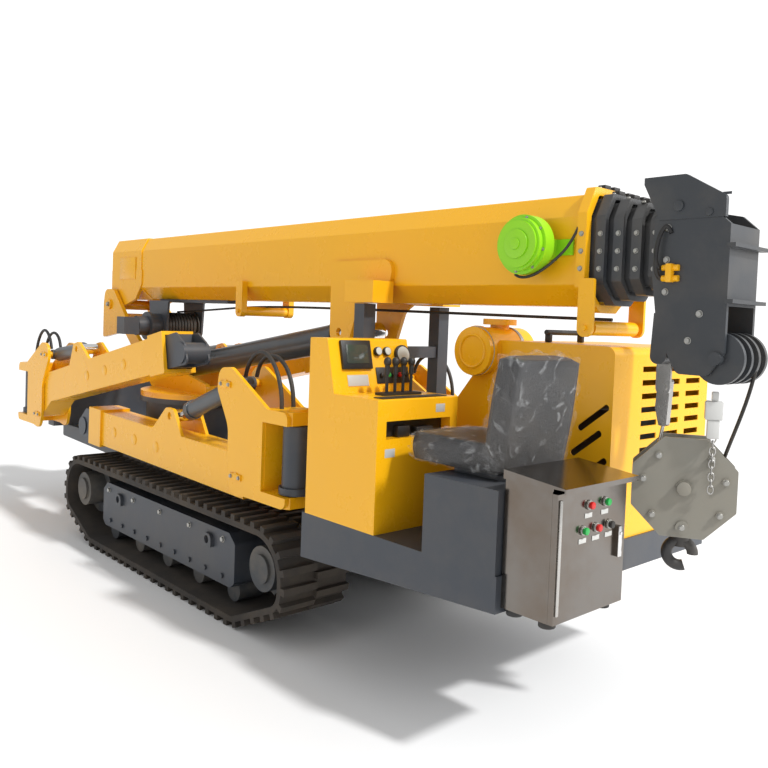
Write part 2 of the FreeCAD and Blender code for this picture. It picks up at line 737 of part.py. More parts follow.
# Slew table and mast: round table, two cheeks leaning forward to the boom's foot pin
table_low, table_high = size("table_bottom"), size("table_top")
mast = size("mast_gap")
foot_x, foot_z = size("foot_pin_x"), size("foot_pin_z")
luff_x, luff_z = size("luff_base_x"), size("luff_base_z")
foot_pin = size("foot_pin_radius")
mast_outline = [
    (slew_x - 380, table_high - 1, 0), (slew_x + 420, table_high - 1, 0), (foot_x - 281, 1420, 80),
    (foot_x + 119, 1360, 20), (foot_x + 119, 1640, 30), (foot_x + 94, 1750, 60),
    (foot_x - 60, 1752, 60), (foot_x - 300, 1530, 60), (luff_x + 130, 1350, 60), (luff_x - 200, 1230, 90),
    (slew_x - 380, table_high + 70, 30),
]
mast_parts = [
    prism(mast_outline, "Y", side * mast, side * (mast + 30))
    for side in SIDES.values()
]
mast_parts.append(bar("Z", slew_x, 0, 0, size("table_radius"), table_low, table_high))
mast_parts.append(block(foot_x - 20, foot_x + 6, -mast - 1, mast + 1, 1476, 1560))
mast_parts.append(block(slew_x - 370, slew_x - 340, -mast - 1, mast + 1, table_high - 1, table_high + 60))
mast_parts.append(bar("Y", foot_x, 0, foot_z, foot_pin, -mast - 44, mast + 44))
mast_parts.append(bar("Y", luff_x, 0, luff_z, pin, -mast - 40, mast + 40))
keep("mast", joined(mast_parts))

# Boom sections: each is a folded tube with a collar, one inside the next
half = size("boom_half_width")
bottom, side_low = size("boom_bottom"), size("boom_side_bottom")
side_high, top = size("boom_side_top"), size("boom_top")
boom_foot, boom_end = size("boom_foot"), size("boom_end")
boom_wall = size("boom_wall")
step = size("section_step")
reach_step = size("section_reach")


def boom_outline(inset):
    """Cross-section of a boom tube, drawn inwards from the outer section's by inset."""
    return [
        (-half + inset, side_low + inset * 0.5, 12), (-half + inset, side_high - inset * 0.4, 12),
        (-half + 50 + inset * 0.8, top - inset, 12), (half - 50 - inset * 0.8, top - inset, 12),
        (half - inset, side_high - inset * 0.4, 12), (half - inset, side_low + inset * 0.5, 12),
        (60, bottom + inset, 20), (-60, bottom + inset, 20),
    ]


section_count = 5
saddles = []
for index in range(section_count):
    inset = index * step
    end_x = boom_end - index * reach_step
    start_x = boom_foot - index * 60
    tube = prism(boom_outline(inset), "X", end_x, start_x)
    inside = prism(boom_outline(inset + boom_wall), "X", end_x - 1, start_x + 1)
    lip = -14 if index else -24
    collar_start = end_x
    collar = prism(boom_outline(inset + lip), "X", collar_start, end_x + size("collar_length"))
    collar = collar.cut(prism(boom_outline(inset + 1), "X", collar_start - 1, end_x + 60))
    parts_here = [tube.cut(inside), collar]
    if index == 0:
        rib = prism(boom_outline(-6), "X", boom_foot - 520, boom_foot)
        rib = rib.cut(prism(boom_outline(1), "X", boom_foot - 521, boom_foot + 1))
        parts_here.append(rib)
        for side in SIDES.values():
            parts_here.append(prism([
                (foot_x - 480, 1790, 0), (foot_x - 380, 1675, 40), (foot_x - 60, 1590, 60),
                (foot_x + 52, 1592, 50), (foot_x + 54, 1900, 0), (foot_x - 480, 1900, 0),
            ], "Y", side * (half - 20), side * (half + 8), holes=[(foot_x, foot_z, foot_pin + fit)]))
            eye_x, eye_z = size("luff_eye_x"), size("luff_eye_z")
            parts_here.append(prism([
                (eye_x + 78, eye_z - 66, 70), (eye_x + 84, 1900, 30), (eye_x - 420, 1900, 60),
                (eye_x - 400, 1790, 40), (eye_x - 150, 1640, 60), (eye_x - 78, eye_z - 66, 70),
            ], "Y", side * (half - 1), side * (half + 22), holes=[(eye_x, eye_z, pin + fit)]))
            inner, outer = sorted((side * (half + 22), side * 318))
            saddles.append(block(rest_x - 110, rest_x + 110, inner, outer, rest_top + 5, 1786))
    section = joined(parts_here)
    if index == 0:
        section = section.cut(prism(boom_outline(boom_wall), "X", end_x - 1, boom_foot + 1))
    if index < section_count - 1:
        gap_end = inset + step - pad_clearance
        pads = [
            block(end_x + 12, end_x + 112, -45, 45, bottom + inset + boom_wall - 1, bottom + gap_end),
            block(end_x + 12, end_x + 112, -45, 45, top - gap_end, top - inset - boom_wall + 1),
        ]
        section = joined([section] + pads)
    keep("boom_%d" % (index + 1), section)
keep("boom_saddles", Part.makeCompound(saddles))

# Boom head on the innermost section: cheeks, rear box, sheaves at the tip
head_rear = size("head_rear")
head_start = boom_end - (section_count - 1) * reach_step
head_half = 120
head_outline = [
    (head_start + 10, 2010, 0), (head_start + 10, 1800, 0), (head_start - 20, 1600, 40),
    (head_rear + 240, 1540, 30), (head_rear + 180, 1434, 30), (head_rear + 60, 1434, 30),
    (head_rear, 1520, 40), (head_rear, 1984, 0), (head_rear + 60, 2036, 0), (head_start - 20, 2080, 20),
]
head_parts = [prism(head_outline, "Y", side * head_half, side * (head_half - 16)) for side in SIDES.values()]
head_parts.append(block(head_rear, head_rear + 14, -head_half, head_half, 1690, 1984))
head_parts.append(block(head_start - 14, head_start, -head_half, head_half, 1760, 2070))
for shelf_z in (1700, 1900):
    head_parts.append(block(head_rear - 30, head_rear + 1, -head_half - 20, head_half + 20, shelf_z, shelf_z + 14))
head_parts.append(prism([
    (head_start + 60, 2150, 0), (head_start + 60, 2176, 0), (head_start - 110, 2176, 20),
    (head_rear + 20, 2085, 20), (head_rear + 20, 2010, 0), (head_start - 12, 2010, 0),
], "Y", head_half - 17, head_half + 3))
sheave_x, sheave_z = head_rear + 30, 1500
sheave_radius = 95
for index in range(4):
    sheave_y = -90 + index * 60
    head_parts.append(bar("Y", sheave_x, 0, sheave_z, sheave_radius, sheave_y - 9, sheave_y + 9))
head_parts.append(bar("Y", sheave_x, 0, sheave_z, 24, -head_half - 14, head_half + 14))
head_parts.append(bar("X", 0, 0, 1900, 60, head_start - 20, head_start + 70))
anchor_x, anchor_y, anchor_z = size("anchor_x"), 58, size("anchor_z")
anchor_pin = 16
head_parts.append(prism([
    (anchor_x - 34, anchor_z - 34, 30), (anchor_x + 34, anchor_z - 34, 30), (anchor_x + 24, 1660, 0),
    (anchor_x - 40, 1660, 0),
], "Y", anchor_y + 16, head_half))
head_parts.append(bar("Y", anchor_x, 0, anchor_z, anchor_pin, anchor_y - 6, anchor_y + 20))
keep("boom_head", joined(head_parts))

# Luffing cylinder between the mast and the bracket under the boom
luff_dx, luff_dz = size("luff_eye_x") - luff_x, size("luff_eye_z") - luff_z
luff_reach = math.hypot(luff_dx, luff_dz)
luff_barrel, luff_rod = cylinder_pieces(
    luff_reach, size("luff_barrel_radius"), size("luff_rod_radius"), 110, 150)
luff_place = Placement(
    Vector(luff_x, 0, luff_z), Rotation(Vector(0, 1, 0), -math.degrees(math.atan2(luff_dz, luff_dx))))
keep("luff_barrel", luff_barrel, luff_place)
keep("luff_rod", luff_rod, luff_place)

# Winch hung under the boom near its foot: cradle with gearbox and motor, and its drum
winch_x, winch_z = size("winch_x"), size("winch_z")
drum_half, drum = size("drum_half_length"), size("drum_radius")
flange = drum + 24
cradle_outline = [
    (winch_x - 150, bottom - 20, 0), (winch_x - 128, winch_z - 60, 60), (winch_x - 40, winch_z - 128, 60),
    (winch_x + 40, winch_z - 128, 60), (winch_x + 128, winch_z - 60, 60), (winch_x + 150, bottom - 20, 0),
]
cradle_parts = [
    prism(cradle_outline, "Y", side * (drum_half + 4), side * (drum_half + 20),
          holes=[(winch_x, winch_z, 40 + fit)])
    for side in SIDES.values()
]
cradle_parts.append(block(winch_x - 820, winch_x + 160, -58, 58, bottom - 21, bottom - 0.3))
cradle_parts.append(block(winch_x - 160, winch_x + 160, -drum_half - 20, drum_half + 20, bottom - 21, bottom - 12))
gear_start = drum_half + 19
cradle_parts += [
    bar("Y", winch_x, 0, winch_z, 92, gear_start, gear_start + 75),
    bar("Y", winch_x, 0, winch_z, 104, gear_start + 75, gear_start + 95),
    bar("Y", winch_x, 0, winch_z, 70, gear_start + 95, gear_start + 175),
    block(winch_x - 62, winch_x + 62, gear_start + 175, gear_start + 290, winch_z - 62, winch_z + 62),
]
keep("winch", joined(cradle_parts).cut(bar("Y", winch_x, 0, winch_z, 40 + fit, -200, drum_half + 60)))
drum_parts = [
    bar("Y", winch_x, 0, winch_z, drum, -drum_half, drum_half),
    bar("Y", winch_x, 0, winch_z, flange, -drum_half, -drum_half + 10),
    bar("Y", winch_x, 0, winch_z, flange, drum_half - 10, drum_half),
    bar("Y", winch_x, 0, winch_z, 40, -drum_half - 20, drum_half + 40),
]
grooves = 9
groove_pitch = (2 * drum_half - 40) / grooves
for index in range(grooves):
    ring_y = -drum_half + 20 + (index + 0.5) * groove_pitch
    drum_parts.append(bar("Y", winch_x, 0, winch_z, drum + 8, ring_y - 0.35 * groove_pitch, ring_y + 0.35 * groove_pitch))
keep("winch_drum", joined(drum_parts))

# Rope rollers hung under the boom on links
roller_parts = []
ROPE_ROLLERS = [
    # x, z of the roller, z of the link's top
    (310, 1612, 1800),
    (-2262, 1592, 1790),
]
for roller_x, roller_z, link_top in ROPE_ROLLERS:
    for side in SIDES.values():
        inner, outer = sorted((side * (half + 0.3 + (24 if roller_x < 0 else 0)), side * (half + 40)))
        roller_parts.append(prism([
            (roller_x - 36, roller_z - 36, 34), (roller_x + 36, roller_z - 36, 34),
            (roller_x + 36, link_top, 10), (roller_x - 36, link_top, 10),
        ], "Y", inner, outer))
    roller_parts.append(bar("Y", roller_x, 0, roller_z, 30, -half - 1, half + 1))
    roller_parts.append(bar("Y", roller_x, 0, roller_z, 12, -half - 52, half + 52))
rear_roller = joined(roller_parts[4:])
keep("rope_rollers", Part.makeCompound([joined(roller_parts[:4]), rear_roller]))

# Cable reel on the boom's left side, on a folded bracket
reel_x, reel_z, reel_radius = -1990, 1927, 124
reel_parts = [
    bar("Y", reel_x, 0, reel_z, reel_radius, half + 60, half + 118),
    bar("Y", reel_x, 0, reel_z, reel_radius - 14, half + 40, half + 142),
    bar("Y", reel_x, 0, reel_z, reel_radius - 26, half + 141, half + 152),
    block(reel_x - 180, reel_x - 60, half + 0.3, half + 10, reel_z - 40, reel_z + 26),
    block(reel_x - 100, reel_x - 90, half + 1, half + 100, reel_z - 60, reel_z + 26),
    bar("Y", reel_x, 0, reel_z, 30, half + 0.3, half + 61),
]
keep("cable_reel", joined(reel_parts))

# Hook block: two eight-sided plates on spacers, sheaves between them, turned to one side
block_x, block_z, block_radius = size("block_x"), size("block_z"), size("block_radius")
rope = size("rope_radius")
block_sheave = size("block_sheave_radius")
plate_inner, plate_outer = 52, 64
flat = block_radius * math.tan(math.pi / 8)
octagon = []
for turn in range(8):
    angle = math.pi / 8 + turn * math.pi / 4
    corner_radius = block_radius / math.cos(math.pi / 8)
    octagon.append((corner_radius * math.cos(angle), corner_radius * math.sin(angle), 12))
BLOCK_BOLTS = [
    # x, z from the plate's middle, and whether the bolt runs from plate to plate
    (-95, 118, False), (-148, 35, False), (148, 25, False), (95, 118, False), (-132, -92, True),
    (110, -110, True),
]
block_parts = [
    prism(octagon, "Y", side * plate_inner, side * plate_outer) for side in SIDES.values()
]
for bolt_x, bolt_z, through in BLOCK_BOLTS:
    if through:
        block_parts.append(bar("Y", bolt_x, 0, bolt_z, 15, -plate_outer - 10, plate_outer + 10))
    else:
        for side in SIDES.values():
            inner, outer = sorted((side * (plate_outer - 1), side * (plate_outer + 10)))
            block_parts.append(bar("Y", bolt_x, 0, bolt_z, 15, inner, outer))
block_parts += [
    bar("Y", 0, 0, 0, 30, -plate_outer - 10, plate_outer + 10),
    bar("Y", 0, 0, -150, 24, -plate_outer - 10, plate_outer + 10),
    bar("Y", 0, 0, 0, block_sheave, -14, 14),
    block(-50, 50, -plate_inner - 1, plate_inner + 1, -188, -128),
]
block_place = Placement(Vector(block_x, 0, block_z), Rotation(Vector(0, 0, 1), size("block_turn")))
keep("hook_block", joined(block_parts), block_place)

bowl, hook_thick = 48, 21
hook_eye = 216
hook_parts = [
    bar("Z", 0, 0, 0, 24, -hook_eye - hook_thick, -188.3),
    bar("Z", 0, 0, 0, 34, -hook_eye + 4, -hook_eye + 20),
]
hook_ring = Part.makeTorus(bowl, hook_thick, Vector(0, 0, -hook_eye - bowl), Vector(0, 1, 0), 0, 360, 290)
hook_ring.rotate(Vector(0, 0, -hook_eye - bowl), Vector(0, 1, 0), -90)
hook_parts.append(hook_ring)
keep("hook", joined(hook_parts), block_place)

# Dead end of the hoist rope: link on the head's pin, wedge socket, and the rope down to the block
link_length = 125
link_half = 30
socket_low = anchor_z - link_length - 150
link_parts = [
    prism([
        (anchor_x - link_half, anchor_z + link_half, 28), (anchor_x + link_half, anchor_z + link_half, 28),
        (anchor_x + link_half, anchor_z - link_length - link_half, 28),
        (anchor_x - link_half, anchor_z - link_length - link_half, 28),
    ], "Y", anchor_y, anchor_y + 12, holes=[(anchor_x, anchor_z, anchor_pin + fit)]),
    bar("Y", anchor_x, 0, anchor_z - link_length, anchor_pin, anchor_y - 34, anchor_y + 20),
    prism([
        (anchor_x - 26, anchor_z - link_length + 30, 8), (anchor_x + 26, anchor_z - link_length + 30, 8),
        (anchor_x + 34, anchor_z - link_length - 80, 20), (anchor_x + 16, socket_low, 8),
        (anchor_x - 16, socket_low, 8),
    ], "Y", anchor_y - 28, anchor_y + 1),
]
rope_top = Vector(anchor_x, anchor_y - 14, socket_low + 20)
seen = block_place.inverse().multVec(rope_top)
wrap = block_sheave + rope + 0.3
tangent_angle = math.atan2(seen.z, seen.x) - math.acos(wrap / math.hypot(seen.x, seen.z))
tangent = block_place.multVec(Vector(wrap * math.cos(tangent_angle), 0, wrap * math.sin(tangent_angle)))
dead_rope = Part.makeCylinder(rope, (tangent - rope_top).Length, rope_top, tangent - rope_top)
keep("rope_anchor", joined(link_parts + [dead_rope]))

# Lever bank beside the engine cover
bank_x, bank_y = deck_rear + 190, hood_left + 135
bank = [block(bank_x - 80, bank_x + 80, bank_y - 70, bank_y + 70, deck_top, deck_top + 230)]
for index in range(3):
    stick_y = bank_y - 40 + index * 40
    bank.append(bar("Z", bank_x, stick_y, 0, 6, deck_top + 229, deck_top + 400))
    bank.append(bar("Z", bank_x, stick_y, 0, 10, deck_top + 400, deck_top + 500))
keep("valve_levers", joined(bank))

doc.recompute()
for item in doc.Objects:
    if "Invalid" in item.State or "Error" in item.State:
        raise ValueError("%s failed: %s" % (item.Label, item.State))
for piece in pieces:
    if piece.Shape.isNull() or not piece.Shape.isValid():
        raise ValueError("%s has no valid shape" % piece.Label)
for piece in pieces:
    piece.Shape.exportStep("parts/%s.step" % piece.Label)
whole = Part.makeCompound([piece.Shape for piece in pieces])
print("pieces", len(pieces), "box", whole.BoundBox)
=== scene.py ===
import bpy
import math
from mathutils import Matrix, Quaternion, Vector


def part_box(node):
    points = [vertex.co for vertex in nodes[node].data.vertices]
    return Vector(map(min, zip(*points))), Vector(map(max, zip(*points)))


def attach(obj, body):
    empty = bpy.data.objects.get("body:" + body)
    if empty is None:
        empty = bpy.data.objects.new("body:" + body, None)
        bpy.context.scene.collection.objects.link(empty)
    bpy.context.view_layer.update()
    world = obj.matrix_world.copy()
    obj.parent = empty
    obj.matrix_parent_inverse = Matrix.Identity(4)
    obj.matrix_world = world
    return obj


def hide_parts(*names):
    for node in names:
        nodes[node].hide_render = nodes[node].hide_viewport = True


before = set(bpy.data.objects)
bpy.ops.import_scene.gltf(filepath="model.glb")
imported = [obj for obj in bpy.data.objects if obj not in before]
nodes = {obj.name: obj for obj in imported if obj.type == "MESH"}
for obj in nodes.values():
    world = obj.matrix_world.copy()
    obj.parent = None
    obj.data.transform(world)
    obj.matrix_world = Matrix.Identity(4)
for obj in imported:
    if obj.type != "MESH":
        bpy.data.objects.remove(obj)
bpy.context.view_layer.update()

# Camera, lamps and floor
# The camera stands off the machine's rear left corner, at eye height.
# The lamps and the pale floor are a plain studio round the machine.
camera_place = Vector((-4.1, 2.9235, 1.6))
yaw, pitch, roll = math.radians(43.149), math.radians(2.3535), math.radians(2.1942)
look = Vector((
    math.cos(yaw) * math.cos(pitch), -math.sin(yaw) * math.cos(pitch), -math.sin(pitch)))
bpy.ops.object.camera_add(location=camera_place)
camera = bpy.context.object
camera.rotation_mode = "QUATERNION"
camera.rotation_quaternion = look.to_track_quat("-Z", "Y") @ Quaternion((0, 0, 1), roll)
camera.data.sensor_width = 36
camera.data.lens = 37.66
camera.data.shift_x = -0.0206
camera.data.shift_y = -0.0418
camera.data.clip_end = 200
bpy.context.scene.camera = camera
bpy.context.scene.view_settings.view_transform = "Standard"

bpy.ops.mesh.primitive_plane_add(size=80, location=(0, 0, -0.002))
floor = bpy.context.object
floor.name = "studio_floor"
floor_paint = bpy.data.materials.new("pale_floor")
floor_paint.use_nodes = True
floor_shader = floor_paint.node_tree.nodes["Principled BSDF"]
floor_shader.inputs["Base Color"].default_value = (0.86, 0.86, 0.86, 1)
floor_shader.inputs["Roughness"].default_value = 0.9
floor.data.materials.append(floor_paint)

world = bpy.data.worlds.new("studio")
bpy.context.scene.world = world
world.use_nodes = True
sky = world.node_tree
sky_light = sky.nodes["Background"]
sky_light.inputs["Color"].default_value = (1, 1, 1, 1)
sky_light.inputs["Strength"].default_value = 0.7
sky_white = sky.nodes.new("ShaderNodeBackground")
sky_white.inputs["Color"].default_value = (1, 1, 1, 1)
sky_white.inputs["Strength"].default_value = 1.15
rays = sky.nodes.new("ShaderNodeLightPath")
seen = sky.nodes.new("ShaderNodeMath")
seen.operation = "MAXIMUM"
sky.links.new(rays.outputs["Is Camera Ray"], seen.inputs[0])
sky.links.new(rays.outputs["Is Transmission Ray"], seen.inputs[1])
# What the camera sees of the sky, also through glass, is white; what lights the machine is plainer.
sky_mix = sky.nodes.new("ShaderNodeMixShader")
sky.links.new(seen.outputs[0], sky_mix.inputs[0])
sky.links.new(sky_light.outputs[0], sky_mix.inputs[1])
sky.links.new(sky_white.outputs[0], sky_mix.inputs[2])
sky.links.new(sky_mix.outputs[0], sky.nodes["World Output"].inputs["Surface"])
bpy.ops.object.light_add(type="SUN", rotation=(math.radians(42), math.radians(-16), math.radians(-62)))
sun = bpy.context.object
sun.data.energy = 2.6
sun.data.angle = math.radians(4)
bpy.ops.object.light_add(type="AREA", location=(-7, -4, 5))
fill = bpy.context.object
fill.data.energy = 240
fill.data.size = 5
fill.rotation_euler = (Vector((0, 0, 1)) - fill.location).to_track_quat("-Z", "Y").to_euler()


# Chassis, deck and mast: welded steel plate under a coat of paint
# Plate is cut, welded and sprayed, so the coat has a fine orange peel, and dust lies in patches.
def coat(name, colour, roughness=0.38, dust_and_reflection=0.25, peel=0.12, metallic=0.0, dust_and_reflection_colour=(0.34, 0.28, 0.2)):
    """A coat of paint, or bare metal, with patches of dust and a fine unevenness; on the stainless the patches are
    painted reflection.
    """
    finish = bpy.data.materials.new(name)
    finish.use_nodes = True
    tree = finish.node_tree
    shader = tree.nodes["Principled BSDF"]
    shader.inputs["Metallic"].default_value = metallic
    place = tree.nodes.new("ShaderNodeTexCoord")
    patches = tree.nodes.new("ShaderNodeTexNoise")
    patches.inputs["Scale"].default_value = 2.6
    patches.inputs["Detail"].default_value = 8
    patches.inputs["Roughness"].default_value = 0.62
    tree.links.new(place.outputs["Object"], patches.inputs["Vector"])
    amount = tree.nodes.new("ShaderNodeMapRange")
    amount.inputs["From Min"].default_value = 0.42
    amount.inputs["From Max"].default_value = 0.85
    amount.inputs["To Max"].default_value = dust_and_reflection
    tree.links.new(patches.outputs["Fac"], amount.inputs["Value"])
    tint = tree.nodes.new("ShaderNodeMix")
    tint.data_type = "RGBA"
    tint.inputs["A"].default_value = (*colour, 1)
    tint.inputs["B"].default_value = (*dust_and_reflection_colour, 1)
    tree.links.new(amount.outputs["Result"], tint.inputs["Factor"])
    tree.links.new(tint.outputs["Result"], shader.inputs["Base Color"])
    gloss = tree.nodes.new("ShaderNodeMapRange")
    gloss.inputs["To Min"].default_value = roughness * 0.8
    gloss.inputs["To Max"].default_value = min(1, roughness * 1.35)
    tree.links.new(patches.outputs["Fac"], gloss.inputs["Value"])
    tree.links.new(gloss.outputs["Result"], shader.inputs["Roughness"])
    skin = tree.nodes.new("ShaderNodeTexNoise")
    skin.inputs["Scale"].default_value = 90
    skin.inputs["Detail"].default_value = 3
    tree.links.new(place.outputs["Object"], skin.inputs["Vector"])
    bump = tree.nodes.new("ShaderNodeBump")
    bump.inputs["Strength"].default_value = peel
    bump.inputs["Distance"].default_value = 0.002
    tree.links.new(skin.outputs["Fac"], bump.inputs["Height"])
    tree.links.new(bump.outputs["Normal"], shader.inputs["Normal"])
    return finish


def cover(names, finish):
    """Give CAD pieces a finish."""
    for name in names:
        nodes[name].data.materials.clear()
        nodes[name].data.materials.append(finish)


LEGS = ("front_left", "front_right", "rear_left", "rear_right")
yellow = coat("yellow_gloss_paint", (0.95, 0.475, 0.006), roughness=0.26, dust_and_reflection=0.05)
dark = coat("dark_grey_paint", (0.042, 0.05, 0.064), roughness=0.4, dust_and_reflection=0.16)
cover(["chassis", "deck", "boom_rest", "seat_box", "seat_rails", "track_frame_left", "track_frame_right"], dark)
cover(["swing_post_" + leg for leg in LEGS], dark)
cover(["mast"], yellow)


# Tracks: rubber belts with raised lugs round sprockets, idlers and rollers
# The rubber is moulded and brown with dry soil, most of it between the lugs.
cover(["track_left", "track_right"], coat(
    "dusty_track_rubber", (0.035, 0.03, 0.026), roughness=0.85, dust_and_reflection=0.75, peel=0.5, dust_and_reflection_colour=(0.13, 0.1, 0.07)))
cover(["track_wheels"], coat("track_wheel_paint", (0.045, 0.05, 0.056), roughness=0.6, dust_and_reflection=0.6))


# Bolts: hexagon heads on washers, wherever plates are fastened
# One head is made here and copied to each place, and each group is one piece.
def clean():
    """Leave nothing selected."""
    bpy.ops.object.select_all(action="DESELECT")


def settled(piece, name, body, finish):
    """Put a finished piece's place into its mesh, and fix it to what carries it."""
    clean()
    piece.select_set(True)
    bpy.context.view_layer.objects.active = piece
    bpy.ops.object.transform_apply(location=True, rotation=True, scale=True)
    piece.name = name
    piece.data.name = name
    piece.data.materials.clear()
    piece.data.materials.append(finish)
    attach(piece, body)
    return piece


def together(parts):
    """Several primitives as one mesh."""
    clean()
    for part in parts:
        part.select_set(True)
    bpy.context.view_layer.objects.active = parts[0]
    if len(parts) > 1:
        bpy.ops.object.join()
    return bpy.context.object


def rounded(piece, width, segments=2, angle=40):
    """Bevel the sharp edges of a piece, and smooth what is round."""
    clean()
    piece.select_set(True)
    bpy.context.view_layer.objects.active = piece
    bpy.ops.object.transform_apply(location=True, rotation=True, scale=True)
    bevel = piece.modifiers.new("edges", "BEVEL")
    bevel.width = width
    bevel.segments = segments
    bevel.limit_method = "ANGLE"
    bevel.angle_limit = math.radians(angle)
    bpy.ops.object.modifier_apply(modifier=bevel.name)
    bpy.ops.object.shade_smooth_by_angle(angle=math.radians(35))
    return piece


def rod(start, end, radius, edge=0.0015, sides=28):
    """Round bar between two points."""
    start, end = Vector(start), Vector(end)
    along = end - start
    bpy.ops.mesh.primitive_cylinder_add(
        vertices=sides, radius=radius, depth=along.length, location=(start + end) / 2,
        rotation=along.to_track_quat("Z", "Y").to_euler())
    return rounded(bpy.context.object, min(edge, radius * 0.4))


def slab(low, high, edge=0.003):
    """Flat bar or box between two corners, with eased edges."""
    low, high = Vector(low), Vector(high)
    bpy.ops.mesh.primitive_cube_add(size=1, location=(low + high) / 2)
    piece = bpy.context.object
    piece.scale = high - low
    return rounded(piece, edge)


# The pattern's unit is the radius of a head; it faces up from its washer's foot.
bpy.ops.mesh.primitive_cylinder_add(vertices=20, radius=1.25, depth=0.18, location=(0, 0, 0.09))
washer = bpy.context.object
bpy.ops.mesh.primitive_cylinder_add(vertices=6, radius=1, depth=0.75, location=(0, 0, 0.5))
bolt_head = together([washer, bpy.context.object])
rounded(bolt_head, 0.07, 1)
bolt_head.name = "bolt_pattern"


def bolts(name, body, places, radius, finish):
    """Bolt heads of one radius; each place is a point and the way the head faces."""
    copies = []
    for point, facing in places:
        copy = bolt_head.copy()
        copy.data = bolt_head.data.copy()
        bpy.context.collection.objects.link(copy)
        turn = Vector(facing).to_track_quat("Z", "Y").to_matrix().to_4x4()
        copy.data.transform(Matrix.Translation(Vector(point)) @ turn @ Matrix.Scale(radius, 4))
        copies.append(copy)
    return settled(together(copies), name, body, finish)


zinc = coat("zinc_bolt", (0.42, 0.42, 0.4), roughness=0.4, dust_and_reflection=0.3, metallic=0.9)
black = coat("black_plastic", (0.012, 0.012, 0.013), roughness=0.45, dust_and_reflection=0.12, peel=0.2)
rubber = coat("black_hose_rubber", (0.014, 0.014, 0.015), roughness=0.5, dust_and_reflection=0.2, peel=0.25)
red = coat("red_plastic", (0.55, 0.012, 0.01), roughness=0.3, dust_and_reflection=0.05)
green_lamp = coat("green_plastic", (0.01, 0.34, 0.06), roughness=0.3, dust_and_reflection=0.05)
bare = coat("blank_plate", (0.5, 0.5, 0.48), roughness=0.4, dust_and_reflection=0.1)
cover_recess, cover_bolt_height = 0.02, 0.395
first_cover_bolt, cover_bolt_spacing = -0.4, 0.36
for side, sign in (("left", 1), ("right", -1)):
    low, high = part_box("track_frame_" + side)
    face = max(abs(low.y), abs(high.y)) - cover_recess
    spots = []
    for index in range(5):
        x = first_cover_bolt + index * cover_bolt_spacing
        spots.append(((x, sign * face, cover_bolt_height), (0, sign, 0)))
    bolts("frame_cover_bolts_" + side, "base", spots, 0.014, zinc)


# Legs: yellow boxes on pins between cheek plates, with a cylinder above each
# Pins are held by keeper plates with two bolts, and hoses loop over each knuckle with slack for the swing.
cylinder_paint = coat("blue_grey_paint", (0.06, 0.075, 0.09), roughness=0.28, dust_and_reflection=0.2)
chrome = coat("chrome_rod", (0.75, 0.75, 0.75), roughness=0.12, dust_and_reflection=0.1, peel=0.0, metallic=1.0)
cover(["bracket_" + leg for leg in LEGS] + ["arm_" + leg for leg in LEGS], yellow)
cover(["inner_arm_" + leg for leg in LEGS], dark)
cover(["lift_barrel_" + leg for leg in LEGS] + ["luff_barrel"], cylinder_paint)
cover(["lift_rod_" + leg for leg in LEGS] + ["luff_rod"], chrome)


def hose(name, points, radius, body, finish=None):
    """Hose or rope through its points, fastened at both ends."""
    curve = bpy.data.curves.new(name, "CURVE")
    curve.dimensions = "3D"
    curve.bevel_depth = radius
    curve.bevel_resolution = 4
    curve.resolution_u = 10
    curve.use_fill_caps = True
    line = curve.splines.new("NURBS")
    line.points.add(len(points) - 1)
    for spot, point in zip(line.points, points):
        spot.co = (*point, 1)
    line.order_u = 4 if len(points) > 3 else 3
    line.use_endpoint_u = True
    piece = bpy.data.objects.new(name, curve)
    bpy.context.collection.objects.link(piece)
    curve.materials.append(finish or rubber)
    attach(piece, body)
    return piece


